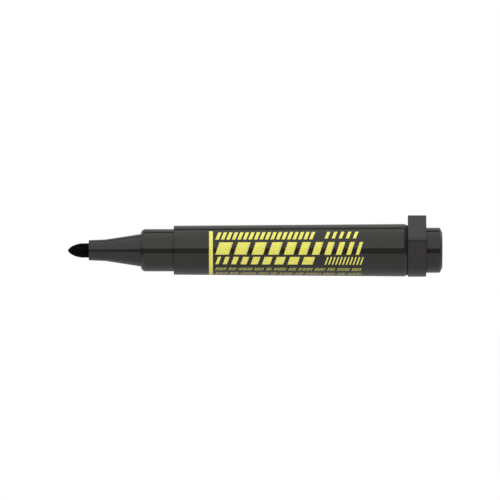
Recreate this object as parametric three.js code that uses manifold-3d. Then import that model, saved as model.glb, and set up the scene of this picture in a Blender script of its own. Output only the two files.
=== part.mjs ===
// Permanent marker, uncapped: a fibre nib in a tapered nose cone, a barrel with a stepped cap seat, a magnet
// collar that turns between the barrel and the end plug, and a film-wrapped ink reservoir inside.
// Millimetres, +Z up. The pen lies along X with its nib towards -X, and is looked at from the -Y side.
// The origin is the centre of the end plug's flat end face. Stations (x...) are measured along X.

import * as THREE from "three";
import { mergeVertices } from "three/addons/utils/BufferGeometryUtils.js";
import Module from "manifold-3d";

const wasm = await Module();
wasm.setup();

// Clearances
const FACE_GAP = 0.3; // between faces that meet along the pen
const COLLAR_FACE_GAP = 0.15; // between a recess in the collar's end and the face that runs in it
const FIT_GAP = 0.1; // round pieces pushed into each other, on the radius
const RUNNING_GAP = 0.12; // round pieces that turn in each other, on the radius
const FILM_GAP = 0.05; // film on the reservoir, on the radius
const MAGNET_GAP = 0.06; // magnet in its pocket, each side

// Nib
const NIB_RADIUS = 2.44;
const NIB_OUT = 7.07; // stands out of the nose cone
const NIB_OGIVE_LENGTH = 5.44;
const NIB_OGIVE_FULLNESS = 1.3; // power of the sine: 1 is half an ellipse, more is more pointed
const NIB_IN_RESERVOIR = 7;
const NIB_POINT_LENGTH = 2.4; // cone on the nib's rear end
const NIB_POINT_RADIUS = 0.9;

// Nose cone
const CONE_LENGTH = 17.75; // from its front face to the cap seat
const CONE_TIP_WALL = 0.89;
const CONE_TIP_LENGTH = 5.7; // slightly tapered stretch behind the front face
const CONE_TIP_RISE = 0.24;
const CONE_EDGE = 0.12; // bevel on the front face
const CONE_SHOULDER = 0.26; // step from the cone down to its spigot
const CONE_CORE_WALL = 0.95; // spigot's wall round the hollow core
const CONE_CORE_TAPER = 4.6; // length over which the core narrows to the nib's bore
const VENT_COUNT = 4;
const VENT_WIDTH = 0.7;
const VENT_DEPTH = 0.35;
const SNAP_HEIGHT = 0.25;
const SNAP_WIDTH = 1.2;
const SNAP_SETBACK = 3.5; // snap ring's middle, from the spigot's rear end

// Cap seat, the barrel's stepped front
const SEAT_RADIUS = 7.21;
const SEAT_LENGTH = 11.15;
const SEAT_ROUND = 1.57; // radius of its front shoulder, which ends at the mouth
const SEAT_MOUTH_DEPTH = 0.8; // recess that takes the cone's base
const SEAM_GAP = 0.09; // dark line round the cone's base, on the radius

// Barrel
const BARREL_FRONT_RADIUS = 8.35;
const BARREL_REAR_RADIUS = 8.94;
const BARREL_LENGTH = 79.77; // from the cap seat's step to the rear rim
const BARREL_WALL = 1.75;
const BARREL_STEP_EDGE = 0.08;
const RIM_BEVEL_LENGTH = 0.83;
const RIM_BEVEL_DEPTH = 0.31;
const RIM_LAND = 0.65; // even stretch behind the bevel
const RIM_EDGE = 0.12; // bevel on the rim's end
const RIM_LEAD_IN = 0.3;
const RIM_LAP = 0.2; // rim inside the collar's front recess
const RIB_COUNT = 6;
const RIB_HEIGHT = 0.3; // at the front of the bore
const RIB_WIDTH = 0.9;

// Reservoir film
const FILM_THICKNESS = 0.15;

// End plug
const PLUG_HEAD_LENGTH = 5.66;
const PLUG_HEAD_LAP = 0.2; // head inside the collar's rear recess
const PLUG_SHOULDER = 0.59; // head beyond the neck, holds the collar on
const PLUG_BEVEL_LENGTH = 0.84;
const PLUG_BEVEL_DEPTH = 1.75;
const PLUG_BEVEL_CROWN = 0.1; // how far the bevel bulges at its middle
const PLUG_SPIGOT_LENGTH = 10.9; // inside the barrel
const PLUG_SPIGOT_STEP = 0.25;
const PLUG_WALL = 1.2;
const PLUG_END_WALL = 1.6;
const PLUG_CORE_DRAFT = 0.25;
const PRESS_RIB_COUNT = 2;
const PRESS_RIB_WIDTH = 1.1;

// Magnet
const MAGNET_THICKNESS = 2.2;
const MAGNET_WIDTH = 8;
const MAGNET_LENGTH = 4.6; // along the pen
const MAGNET_EDGE = 0.2;

// Magnet collar
const RING_LIP = 0.3; // ring's wall round the barrel's rim
const LUG_COVER = 0.87; // plastic between the magnet and the flat face
const LUG_SIDE_WALL = 2.87;
const LUG_CORNER_RADIUS = 1.7;
const COLLAR_END_WALL = 0.42; // between the magnet's pocket and each recess
const COLLAR_EDGE = 0.12;
const MAGNET_LIFT = 0.35; // magnet above the bore's wall, where the bore is highest
const LUG_TURN_DEGREES = 42; // from straight up towards the viewer

// Facets
const OUTER_SIDES = 64;
const INNER_SIDES = 32;
const OGIVE_STEPS = 12;
const ROUND_STEPS = 6;
const BEVEL_STEPS = 3;

// Sizes that follow
const xHeadFront = -PLUG_HEAD_LENGTH;
const xCollarRear = xHeadFront + PLUG_HEAD_LAP;
const xRearRecess = xHeadFront - COLLAR_FACE_GAP;
const xMagnetMiddle = xRearRecess - COLLAR_END_WALL - MAGNET_GAP - MAGNET_LENGTH / 2;
const xFrontRecess = xMagnetMiddle - MAGNET_LENGTH / 2 - MAGNET_GAP - COLLAR_END_WALL;
const xBarrelRear = xFrontRecess - COLLAR_FACE_GAP;
const xCollarFront = xBarrelRear - RIM_LAP;
const xBarrelStep = xBarrelRear - BARREL_LENGTH;
const xSeatFront = xBarrelStep - SEAT_LENGTH;
const xConeFront = xSeatFront - CONE_LENGTH;
const xNibTip = xConeFront - NIB_OUT;
const xBoreFront = xBarrelStep + BARREL_WALL;
const xReservoirFront = xBoreFront + FACE_GAP;
const xPlugFront = xBarrelRear - PLUG_SPIGOT_LENGTH;
const xReservoirRear = xPlugFront - FACE_GAP;
const xNibRear = xReservoirFront + NIB_IN_RESERVOIR;

const boreFrontRadius = BARREL_FRONT_RADIUS - BARREL_WALL;
const boreRearRadius = BARREL_REAR_RADIUS - BARREL_WALL;
const ribInnerRadius = boreFrontRadius - RIB_HEIGHT;
const filmOuterRadius = ribInnerRadius - FIT_GAP;
const filmInnerRadius = filmOuterRadius - FILM_THICKNESS;
const reservoirRadius = filmInnerRadius - FILM_GAP;

const mouthRadius = SEAT_RADIUS - SEAT_ROUND;
const coneBaseRadius = mouthRadius - SEAM_GAP;
const coneSpigotRadius = coneBaseRadius - CONE_SHOULDER;
const seatBoreRadius = coneSpigotRadius + FIT_GAP;
const nibBoreRadius = NIB_RADIUS + FIT_GAP;
const coneTipRadius = nibBoreRadius + CONE_TIP_WALL;
const snapRadius = coneSpigotRadius + SNAP_HEIGHT;
const xSnap = xBoreFront - SNAP_SETBACK;

const neckRadius = boreRearRadius - FIT_GAP;
const headRadius = neckRadius + PLUG_SHOULDER;
const plugSpigotRadius = neckRadius - PLUG_SPIGOT_STEP;
const collarBoreRadius = neckRadius + RUNNING_GAP;
const rimRadius = BARREL_REAR_RADIUS - RIM_BEVEL_DEPTH;
const frontRecessRadius = rimRadius + RUNNING_GAP;
const rearRecessRadius = headRadius + RUNNING_GAP;
const ringRadius = frontRecessRadius + RING_LIP;
const magnetBase = collarBoreRadius + MAGNET_LIFT;
const pocketTop = magnetBase + MAGNET_THICKNESS + MAGNET_GAP;
const lugReach = pocketTop + LUG_COVER;
const lugHalfWidth = MAGNET_WIDTH / 2 + MAGNET_GAP + LUG_SIDE_WALL;

// The barrel's bore widens evenly to the rear, so that its core pulls out.
function boreRadiusAt(x) {
  const share = (x - xBoreFront) / (xBarrelRear - xBoreFront);
  return THREE.MathUtils.lerp(boreFrontRadius, boreRearRadius, share);
}

// Points [across, up] of an arc, from one angle to another.
function arc(across, up, radius, start, end, steps) {
  return Array.from({ length: steps + 1 }, (_, i) => {
    const angle = THREE.MathUtils.lerp(start, end, i / steps);
    return [across + radius * Math.cos(angle), up + radius * Math.sin(angle)];
  });
}

// A body turned round the pen's axis. The profile lists [x, radius], the outside towards +X and the
// inside back again. Half a facet of turn puts a flat facet underneath, so that the pen lies still.
function turned(profile, sides) {
  const points = profile.map(([x, radius]) => new THREE.Vector2(radius, x));
  return new THREE.LatheGeometry(points, sides, Math.PI / sides).rotateZ(-Math.PI / 2);
}

// An outline [across, up] drawn along X, centred on x = 0, with its ends bevelled.
function drawnAlongX(outline, length, edge, hole = null) {
  const shape = new THREE.Shape(outline.map(([across, up]) => new THREE.Vector2(across, up)));
  if (hole) {
    shape.holes.push(new THREE.Path(hole.map(([across, up]) => new THREE.Vector2(across, up))));
  }
  const geometry = new THREE.ExtrudeGeometry(shape, {
    depth: length - 2 * edge,
    bevelEnabled: edge > 0,
    bevelThickness: edge,
    bevelSize: edge,
    bevelOffset: -edge,
    bevelSegments: 1,
  });
  geometry.translate(0, 0, edge - length / 2);
  const axes = new THREE.Matrix4().makeBasis(
    new THREE.Vector3(0, 1, 0),
    new THREE.Vector3(0, 0, 1),
    new THREE.Vector3(1, 0, 0),
  );
  return geometry.applyMatrix4(axes);
}

function toSolid(geometry) {
  const bare = geometry.clone();
  bare.deleteAttribute("normal");
  bare.deleteAttribute("uv");
  const merged = mergeVertices(bare);
  return new wasm.Manifold(
    new wasm.Mesh({
      numProp: 3,
      vertProperties: merged.attributes.position.array,
      triVerts: new Uint32Array(merged.index.array),
    }),
  );
}

function toGeometry(solid) {
  const mesh = solid.getMesh();
  const geometry = new THREE.BufferGeometry();
  geometry.setAttribute("position", new THREE.BufferAttribute(mesh.vertProperties, 3));
  geometry.setIndex(new THREE.BufferAttribute(mesh.triVerts, 1));
  geometry.computeVertexNormals();
  return geometry;
}

// Copies of a geometry, spread evenly round the pen's axis.
function aroundAxis(geometry, count) {
  return Array.from({ length: count }, (_, i) => geometry.clone().rotateX((i * 2 * Math.PI) / count));
}

// Bullet nib: a rod of pressed fibre with a rounded front and a blunt point that sits in the reservoir.
function makeNib() {
  const ogive = Array.from({ length: OGIVE_STEPS + 1 }, (_, i) => {
    const angle = (i / OGIVE_STEPS) * (Math.PI / 2);
    return [
      xNibTip + NIB_OGIVE_LENGTH * (1 - Math.cos(angle)),
      NIB_RADIUS * Math.sin(angle) ** NIB_OGIVE_FULLNESS,
    ];
  });
  const profile = [
    ...ogive,
    [xNibRear - NIB_POINT_LENGTH, NIB_RADIUS],
    [xNibRear, NIB_POINT_RADIUS],
    [xNibRear, 0],
  ];
  return turned(profile, INNER_SIDES);
}

// Nose cone: two tapers outside, a bore with vent channels for the nib, and a cored spigot with a snap ring.
function makeNoseCone() {
  const kneeRadius = coneTipRadius + CONE_TIP_RISE;
  const xKnee = xConeFront + CONE_TIP_LENGTH;
  const xBase = xSeatFront + SEAT_MOUTH_DEPTH - FACE_GAP;
  const coreRadius = coneSpigotRadius - CONE_CORE_WALL;
  const body = turned(
    [
      [xConeFront, coneTipRadius - CONE_EDGE],
      [xConeFront + CONE_EDGE, coneTipRadius],
      [xKnee, kneeRadius],
      [xSeatFront, coneBaseRadius],
      [xBase, coneBaseRadius],
      [xBase, coneSpigotRadius],
      [xSnap - SNAP_WIDTH / 2, coneSpigotRadius],
      [xSnap - SNAP_WIDTH / 4, snapRadius],
      [xSnap + SNAP_WIDTH / 4, snapRadius],
      [xSnap + SNAP_WIDTH / 2, coneSpigotRadius],
      [xBoreFront, coneSpigotRadius],
      [xBoreFront, coreRadius],
      [xSeatFront, coreRadius],
      [xSeatFront - CONE_CORE_TAPER, nibBoreRadius],
      [xConeFront, nibBoreRadius],
      [xConeFront, coneTipRadius - CONE_EDGE],
    ],
    OUTER_SIDES,
  );
  const ventLength = CONE_LENGTH + 2 * FACE_GAP;
  const ventReach = nibBoreRadius + VENT_DEPTH;
  const vent = new THREE.BoxGeometry(ventLength, VENT_WIDTH, ventReach);
  vent.translate(xConeFront + CONE_LENGTH / 2, 0, ventReach / 2);
  const cone = aroundAxis(vent, VENT_COUNT).reduce(
    (solid, channel) => solid.subtract(toSolid(channel)),
    toSolid(body),
  );
  return toGeometry(cone);
}

// One of the ribs inside the barrel that centre the reservoir and stop the end plug.
function makeBarrelRib() {
  const root = BARREL_WALL / 2;
  const outline = [
    [xBoreFront - root, ribInnerRadius],
    [xReservoirRear, ribInnerRadius],
    [xReservoirRear, boreRadiusAt(xReservoirRear) + root],
    [xBoreFront - root, boreRadiusAt(xBoreFront) + root],
  ];
  const shape = new THREE.Shape(outline.map(([x, radius]) => new THREE.Vector2(x, radius)));
  const rib = new THREE.ExtrudeGeometry(shape, { depth: RIB_WIDTH, bevelEnabled: false });
  return rib.translate(0, 0, -RIB_WIDTH / 2).rotateX(Math.PI / 2);
}

// Barrel and cap seat, one moulding: rounded seat shoulder, sharp step, drafted body and bevelled rim.
function makeBarrel() {
  const xRound = xSeatFront + SEAT_ROUND;
  const shoulder = arc(xRound, SEAT_RADIUS - SEAT_ROUND, SEAT_ROUND, Math.PI, Math.PI / 2, ROUND_STEPS);
  const grooveRadius = snapRadius + FIT_GAP;
  const body = turned(
    [
      ...shoulder,
      [xBarrelStep, SEAT_RADIUS],
      [xBarrelStep, BARREL_FRONT_RADIUS - BARREL_STEP_EDGE],
      [xBarrelStep + BARREL_STEP_EDGE, BARREL_FRONT_RADIUS],
      [xBarrelRear - RIM_LAND - RIM_BEVEL_LENGTH, BARREL_REAR_RADIUS],
      [xBarrelRear - RIM_LAND, rimRadius],
      [xBarrelRear - RIM_EDGE, rimRadius],
      [xBarrelRear, rimRadius - RIM_EDGE],
      [xBarrelRear, boreRearRadius + RIM_LEAD_IN],
      [xBarrelRear - RIM_LEAD_IN, boreRadiusAt(xBarrelRear - RIM_LEAD_IN)],
      [xBoreFront, boreFrontRadius],
      [xBoreFront, seatBoreRadius],
      [xSnap + SNAP_WIDTH / 2 + FIT_GAP, seatBoreRadius],
      [xSnap + SNAP_WIDTH / 4 + FIT_GAP, grooveRadius],
      [xSnap - SNAP_WIDTH / 4 - FIT_GAP, grooveRadius],
      [xSnap - SNAP_WIDTH / 2 - FIT_GAP, seatBoreRadius],
      [xSeatFront + SEAT_MOUTH_DEPTH, seatBoreRadius],
      [xSeatFront + SEAT_MOUTH_DEPTH, mouthRadius],
      [xSeatFront, mouthRadius],
    ],
    OUTER_SIDES,
  );
  const barrel = aroundAxis(makeBarrelRib(), RIB_COUNT).reduce(
    (solid, rib) => solid.add(toSolid(rib)),
    toSolid(body),
  );
  return toGeometry(barrel);
}

// Ink reservoir: a fibre rod with a socket that the nib's rear end sits in.
function makeReservoir() {
  const xSocketEnd = xNibRear + FACE_GAP;
  const profile = [
    [xSocketEnd, 0],
    [xSocketEnd, NIB_POINT_RADIUS + FIT_GAP],
    [xSocketEnd - NIB_POINT_LENGTH, nibBoreRadius],
    [xReservoirFront, nibBoreRadius],
    [xReservoirFront, reservoirRadius],
    [xReservoirRear, reservoirRadius],
    [xReservoirRear, 0],
  ];
  return turned(profile, INNER_SIDES);
}

function makeReservoirFilm() {
  const profile = [
    [xReservoirFront, filmInnerRadius],
    [xReservoirFront, filmOuterRadius],
    [xReservoirRear, filmOuterRadius],
    [xReservoirRear, filmInnerRadius],
    [xReservoirFront, filmInnerRadius],
  ];
  return turned(profile, INNER_SIDES);
}

// The press ribs round the plug's spigot, spread along it and reaching almost to the barrel's bore.
function pressRibs() {
  const pitch = PLUG_SPIGOT_LENGTH / (PRESS_RIB_COUNT + 1);
  return Array.from({ length: PRESS_RIB_COUNT }, (_, i) => {
    const xRib = xPlugFront + (i + 1) * pitch;
    const radius = boreRadiusAt(xRib - PRESS_RIB_WIDTH / 2) - FIT_GAP;
    return [
      [xRib - PRESS_RIB_WIDTH / 2, plugSpigotRadius],
      [xRib - PRESS_RIB_WIDTH / 4, radius],
      [xRib + PRESS_RIB_WIDTH / 4, radius],
      [xRib + PRESS_RIB_WIDTH / 2, plugSpigotRadius],
    ];
  }).flat();
}

// End plug: a cup with a ribbed spigot in the barrel, a neck for the collar and a bevelled head.
function makeEndPlug() {
  const coreRadius = plugSpigotRadius - PLUG_WALL;
  const faceRadius = headRadius - PLUG_BEVEL_DEPTH;
  const bevel = Array.from({ length: BEVEL_STEPS + 1 }, (_, i) => {
    const share = i / BEVEL_STEPS;
    const crown = PLUG_BEVEL_CROWN * 4 * share * (1 - share);
    return [
      THREE.MathUtils.lerp(-PLUG_BEVEL_LENGTH, 0, share) + crown * Math.SQRT1_2,
      THREE.MathUtils.lerp(headRadius, faceRadius, share) + crown * Math.SQRT1_2,
    ];
  });
  const profile = [
    [-PLUG_END_WALL, 0],
    [-PLUG_END_WALL, coreRadius - PLUG_CORE_DRAFT],
    [xPlugFront, coreRadius],
    [xPlugFront, plugSpigotRadius],
    ...pressRibs(),
    [xBarrelRear, plugSpigotRadius],
    [xBarrelRear, neckRadius],
    [xHeadFront, neckRadius],
    [xHeadFront, headRadius],
    ...bevel,
    [0, 0],
  ];
  return turned(profile, OUTER_SIDES);
}

// A disc round the pen's axis, to cut a recess.
function disc(xStart, xEnd, radius) {
  return turned([[xStart, 0], [xStart, radius], [xEnd, radius], [xEnd, 0]], OUTER_SIDES);
}

// Magnet collar, lug up: a ring, and tangents from it to the rounded corners of the lug's flat face. The
// barrel's rim and the plug's head run in recesses in its ends, and the magnet sits in a pocket in its bore.
function makeCollar() {
  const cornerAcross = lugHalfWidth - LUG_CORNER_RADIUS;
  const cornerUp = lugReach - LUG_CORNER_RADIUS;
  const cornerAngle = Math.atan2(cornerUp, cornerAcross);
  const cornerDistance = Math.hypot(cornerAcross, cornerUp);
  const side = cornerAngle - Math.acos((ringRadius - LUG_CORNER_RADIUS) / cornerDistance);
  const quarter = Math.PI / 2;
  const ringSteps = Math.round((OUTER_SIDES * (Math.PI + 2 * side)) / (2 * Math.PI));
  const outline = [
    ...arc(cornerAcross, cornerUp, LUG_CORNER_RADIUS, side, quarter, ROUND_STEPS),
    ...arc(-cornerAcross, cornerUp, LUG_CORNER_RADIUS, quarter, Math.PI - side, ROUND_STEPS),
    ...arc(0, 0, ringRadius, Math.PI - side, 2 * Math.PI + side, ringSteps),
  ];
  const bore = arc(0, 0, collarBoreRadius, 0, 2 * Math.PI, OUTER_SIDES).slice(1);
  const ring = drawnAlongX(outline, xCollarRear - xCollarFront, COLLAR_EDGE, bore);
  ring.translate((xCollarFront + xCollarRear) / 2 - xMagnetMiddle, 0, 0);
  const pocketBase = collarBoreRadius / 2;
  const pocket = new THREE.BoxGeometry(
    MAGNET_LENGTH + 2 * MAGNET_GAP,
    MAGNET_WIDTH + 2 * MAGNET_GAP,
    pocketTop - pocketBase,
  );
  pocket.translate(0, 0, (pocketTop + pocketBase) / 2);
  const frontRecess = disc(xCollarFront - FACE_GAP, xFrontRecess, frontRecessRadius);
  const rearRecess = disc(xRearRecess, xCollarRear + FACE_GAP, rearRecessRadius);
  const collar = [frontRecess, rearRecess]
    .map((recess) => recess.translate(-xMagnetMiddle, 0, 0))
    .concat(pocket)
    .reduce((solid, cut) => solid.subtract(toSolid(cut)), toSolid(ring));
  return toGeometry(collar);
}

// Block magnet, lug up. The outline bevels its edges along the pen, and the drawn ends bevel the others.
function makeMagnet() {
  const half = MAGNET_WIDTH / 2;
  const outline = [
    [half - MAGNET_EDGE, magnetBase],
    [half, magnetBase + MAGNET_EDGE],
    [half, magnetBase + MAGNET_THICKNESS - MAGNET_EDGE],
    [half - MAGNET_EDGE, magnetBase + MAGNET_THICKNESS],
    [MAGNET_EDGE - half, magnetBase + MAGNET_THICKNESS],
    [-half, magnetBase + MAGNET_THICKNESS - MAGNET_EDGE],
    [-half, magnetBase + MAGNET_EDGE],
    [MAGNET_EDGE - half, magnetBase],
  ];
  return drawnAlongX(outline, MAGNET_LENGTH, MAGNET_EDGE);
}

const charcoalPlastic = new THREE.MeshStandardMaterial({ color: 0x3a3938, roughness: 0.35, metalness: 0 });
const conePlastic = new THREE.MeshStandardMaterial({ color: 0x38383a, roughness: 0.4, metalness: 0 });
const nibFibre = new THREE.MeshStandardMaterial({ color: 0x0b0b0c, roughness: 0.85, metalness: 0 });
const inkFibre = new THREE.MeshStandardMaterial({ color: 0x1b1b1f, roughness: 0.95, metalness: 0 });
const clearFilm = new THREE.MeshStandardMaterial({ color: 0xdcdcd6, roughness: 0.3, metalness: 0 });
const nickelPlate = new THREE.MeshStandardMaterial({ color: 0xb8babc, roughness: 0.25, metalness: 1 });

function named(name, geometry, material) {
  const mesh = new THREE.Mesh(geometry, material);
  mesh.name = name;
  return mesh;
}

const collar = new THREE.Group();
collar.add(named("magnet_collar", makeCollar(), conePlastic));
collar.add(named("magnet", makeMagnet(), nickelPlate));
collar.position.x = xMagnetMiddle;
collar.rotation.x = THREE.MathUtils.degToRad(LUG_TURN_DEGREES);

const marker = new THREE.Group();
marker.add(named("nib", makeNib(), nibFibre));
marker.add(named("nose_cone", makeNoseCone(), conePlastic));
marker.add(named("barrel", makeBarrel(), charcoalPlastic));
marker.add(named("ink_reservoir", makeReservoir(), inkFibre));
marker.add(named("reservoir_film", makeReservoirFilm(), clearFilm));
marker.add(named("end_plug", makeEndPlug(), conePlastic));
marker.add(collar);

export default marker;
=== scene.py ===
# %% [markdown]
# # A permanent marker with a turning magnet collar
#
# The marker lies along X with its nib towards -X, and the camera looks at it along +Y. Its engineering model
# is loaded first and never moved. It is made of flat facets, so each piece that shows gets a fine surface
# here, worked out with numpy at the same sizes, and each surface gets a procedural material.

# %% Load the frame
import math
from functools import partial

import bpy
import numpy as np
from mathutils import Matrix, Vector


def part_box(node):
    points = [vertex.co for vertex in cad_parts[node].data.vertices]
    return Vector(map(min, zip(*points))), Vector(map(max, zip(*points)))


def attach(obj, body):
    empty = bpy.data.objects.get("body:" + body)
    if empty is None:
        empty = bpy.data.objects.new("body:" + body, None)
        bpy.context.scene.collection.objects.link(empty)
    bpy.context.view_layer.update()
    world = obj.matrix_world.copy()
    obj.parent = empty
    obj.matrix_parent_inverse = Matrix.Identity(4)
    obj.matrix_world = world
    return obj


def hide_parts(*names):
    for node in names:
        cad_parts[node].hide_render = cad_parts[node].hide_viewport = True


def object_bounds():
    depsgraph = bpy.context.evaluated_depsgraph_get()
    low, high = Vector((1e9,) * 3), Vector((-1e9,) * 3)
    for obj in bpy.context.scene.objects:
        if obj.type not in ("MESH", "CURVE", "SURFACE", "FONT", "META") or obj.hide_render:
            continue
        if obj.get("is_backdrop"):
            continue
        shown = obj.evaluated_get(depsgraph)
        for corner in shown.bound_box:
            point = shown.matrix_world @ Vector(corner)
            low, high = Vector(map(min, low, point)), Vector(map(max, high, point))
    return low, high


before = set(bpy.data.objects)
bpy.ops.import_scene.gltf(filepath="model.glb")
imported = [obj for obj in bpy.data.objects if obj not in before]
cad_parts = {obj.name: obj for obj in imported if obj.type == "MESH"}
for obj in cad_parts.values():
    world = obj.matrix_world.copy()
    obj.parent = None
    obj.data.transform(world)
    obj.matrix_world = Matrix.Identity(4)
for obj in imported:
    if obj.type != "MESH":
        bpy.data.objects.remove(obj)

cad_low, cad_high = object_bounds()

# %% [markdown]
# ## Sizes
#
# Blender works in metres, and a marker is drawn in millimetres, so sizes are written as a number times `MM`.
# Where a piece begins and ends comes from the frame's boxes. A box can't tell where a step or a bore lies
# inside its piece, so those sizes are named with the piece, as the mould maker's drawing would give them.

# %% Stations along the pen, from the frame
MM = 0.001


def ends(node):
    """Where a node begins and ends along the pen."""
    low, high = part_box(node)
    return low.x, high.x


x_nib_tip, x_nib_rear = ends("nib")
x_cone_front, x_bore_front = ends("nose_cone")
x_seat_front, x_rim = ends("barrel")
x_core_rear = ends("ink_reservoir")[1]
x_plug_front, x_plug_end = ends("end_plug")
x_collar_front, x_collar_rear = ends("magnet_collar")
print("pen from", round(x_nib_tip / MM, 2), "to", round(x_plug_end / MM, 2), "mm")

# %% Gaps between the pieces, and the two usual corner radii
FIT_GAP = 0.1 * MM
FACE_GAP = 0.3 * MM
CRISP = 0.06 * MM
SOFT = 0.15 * MM
print("gap round a piece that is pushed in", FIT_GAP / MM, "mm")

# %% [markdown]
# ## Profiles with rounded corners
#
# Nothing moulded has a perfectly sharp edge. Even a crisp one has a radius of some hundredths of a
# millimetre, which catches the light. A bevel modifier could round the edges, but a turned piece is simple:
# its outline is a short list of corners, each with its own radius, and one formula rounds them all at once.

# %% A profile whose corners are rounded
SMALLEST = 1e-7
GUARD_SHARE = 0.4


def rounded(corners, closed=False, steps=6):
    """Points of a profile whose corners are (x, r, radius). Each corner becomes the weighted quadratic curve
    from the tangent point before it, towards the corner, to the tangent point after it. The cosine of half
    the turn as the corner's weight makes that curve an exact arc. One more point on each straight side, a
    little further off, keeps the shading of the straight flat."""
    corners = np.array(corners)
    place = corners[:, :2]
    radius = corners[:, 2]
    before = place - np.roll(place, 1, axis=0)
    after = np.roll(place, -1, axis=0) - place
    before = before / np.maximum(np.linalg.norm(before, axis=1, keepdims=True), SMALLEST)
    after = after / np.maximum(np.linalg.norm(after, axis=1, keepdims=True), SMALLEST)
    turn = np.arccos(np.clip((before * after).sum(axis=1), -1, 1))
    cut = (radius * np.tan(turn / 2))[:, None, None]
    t = np.linspace(0, 1, steps + 1)[None, :, None]
    start = place[:, None] - cut * before[:, None]
    end = place[:, None] + cut * after[:, None]
    middle = 2 * np.cos(turn / 2)[:, None, None] * t * (1 - t)
    curve = ((1 - t) ** 2 * start + middle * place[:, None] + t**2 * end) / ((1 - t) ** 2 + middle + t**2)
    guard = GUARD_SHARE * cut
    points = np.concatenate([start - guard * before[:, None], curve, end + guard * after[:, None]], axis=1)
    points = points.reshape(-1, 2)
    if not closed:
        points[0] = place[0]
        points[-1] = place[-1]
    apart = np.linalg.norm(points - np.roll(points, 1, axis=0), axis=1) > SMALLEST
    apart[0] = True
    return points[apart]


print("a rounded square corner has", len(rounded([(0, 0, 0), (1, 0, 0.1), (1, 1, 0)])), "points")

# %% [markdown]
# ## From a grid of points to a mesh
#
# A turned piece, the collar and a printed mark are all grids: rows of points that close on themselves. The
# faces between neighbouring rows and columns follow from the grid's numbering, so one function makes every
# mesh. A profile that starts or ends on the axis closes in a fan of triangles round one point there.

# %% Grid to mesh
def grid_faces(index, closed_rows):
    """Faces between a grid's neighbouring rows and columns: four-sided, from each point to the next in its
    row, to the same two in the next row, and back. Columns always wrap round, and rows do where asked."""
    first = index if closed_rows else index[:-1]
    second = np.roll(index, -1, axis=0) if closed_rows else index[1:]
    return np.stack([first, np.roll(first, -1, axis=1), np.roll(second, -1, axis=1), second], axis=-1)


def mesh_object(name, points, faces):
    """A mesh object at the origin, shaded smooth, from points and faces of three or four corners."""
    mesh = bpy.data.meshes.new(name)
    mesh.from_pydata(points, [], faces)
    mesh.validate()
    mesh.polygons.foreach_set("use_smooth", np.ones(len(mesh.polygons), dtype=bool))
    mesh.update()
    piece = bpy.data.objects.new(name, mesh)
    bpy.context.scene.collection.objects.link(piece)
    return piece


def surface(name, rows, closed_rows):
    """A closed surface through rows of points. Where the rows don't wrap, the first and the last row lie on
    the axis, and each shrinks to one point with a fan of triangles."""
    count, sides = rows.shape[:2]
    index = np.arange(count * sides).reshape(count, sides)
    if closed_rows:
        faces = grid_faces(index, True).reshape(-1, 4).tolist()
        return mesh_object(name, rows.reshape(-1, 3), faces)
    inner = index[1:-1] - sides + 1
    last = (count - 2) * sides + 1
    points = np.concatenate([rows[0, :1], rows[1:-1].reshape(-1, 3), rows[-1, :1]])
    quads = grid_faces(inner, False).reshape(-1, 4).tolist()
    top = np.stack([np.zeros(sides, int), np.roll(inner[0], -1), inner[0]], axis=-1)
    bottom = np.stack([inner[-1], np.roll(inner[-1], -1), np.full(sides, last)], axis=-1)
    return mesh_object(name, points, quads + top.tolist() + bottom.tolist())


print("a 3 by 4 grid has", len(grid_faces(np.arange(12).reshape(3, 4), False).reshape(-1, 4)), "faces")

# %% Turned pieces
SIDES = 192


def turned(profile, radius_at=None):
    """Rows of points of a profile turned round the pen's axis: the point at angle a from straight up,
    towards the viewer, is (x, -r sin a, r cos a). radius_at may change r by x, r and a."""
    angle = np.linspace(0, 2 * math.pi, SIDES, endpoint=False)[None, :]
    x = profile[:, :1] + 0 * angle
    radius = profile[:, 1:] + 0 * angle
    if radius_at is not None:
        radius = radius_at(x, radius, angle)
    return np.stack([x, -radius * np.sin(angle), radius * np.cos(angle)], axis=-1)


def spokes(angle, radius, count, width):
    """True within half a width of the nearest of evenly spread spokes, the first of which points up."""
    pitch = 2 * math.pi / count
    off = np.abs((angle + pitch / 2) % pitch - pitch / 2)
    return np.sin(off) * radius < width / 2


def finish_piece(piece, body, slot, *nodes):
    """Lets a piece ride on its body and stand for its nodes. The slot is not used."""
    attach(piece, body)
    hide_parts(*nodes)
    print(piece.name, len(piece.data.vertices), "vertices, rides on", body)


print("turned pieces have", SIDES, "sides")

# %% [markdown]
# ## The nib
#
# A bullet nib is a rod of fibres, pressed and glued, then ground round at its front. Its outline is half an
# ellipse, drawn in a little towards the tip: the sine of the ellipse's angle is raised to a power of 1.3.
# Grinding leaves the fibres' ends standing, so the surface gets shallow waves that run along the rod. The nib
# has a little play in its bore, and lies on the bottom of it.

# %% Nib outline
NIB_RADIUS = 2.44 * MM
NIB_OGIVE = 5.44 * MM
NIB_FULLNESS = 1.3
NIB_STEPS = 40
NIB_POINT = 2.4 * MM
NIB_POINT_RADIUS = 0.9 * MM
NIB_POINT_EDGES = (0.3 * MM, 0.2 * MM)


def nib_outline():
    """Ogive, shaft and rear point of the nib as x and radius."""
    angle = np.linspace(0, math.pi / 2, NIB_STEPS)
    x = x_nib_tip + NIB_OGIVE * (1 - np.cos(angle))
    ogive = np.stack([x, NIB_RADIUS * np.sin(angle) ** NIB_FULLNESS], axis=1)
    rear = rounded(
        [
            (ogive[-1, 0], ogive[-1, 1], 0),
            (x_cone_front, NIB_RADIUS, 0),
            (x_nib_rear - NIB_POINT, NIB_RADIUS, NIB_POINT_EDGES[0]),
            (x_nib_rear, NIB_POINT_RADIUS, NIB_POINT_EDGES[1]),
            (x_nib_rear, 0, 0),
        ]
    )
    return np.concatenate([ogive, rear[1:]])


print("nib outline has", len(nib_outline()), "points")

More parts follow.
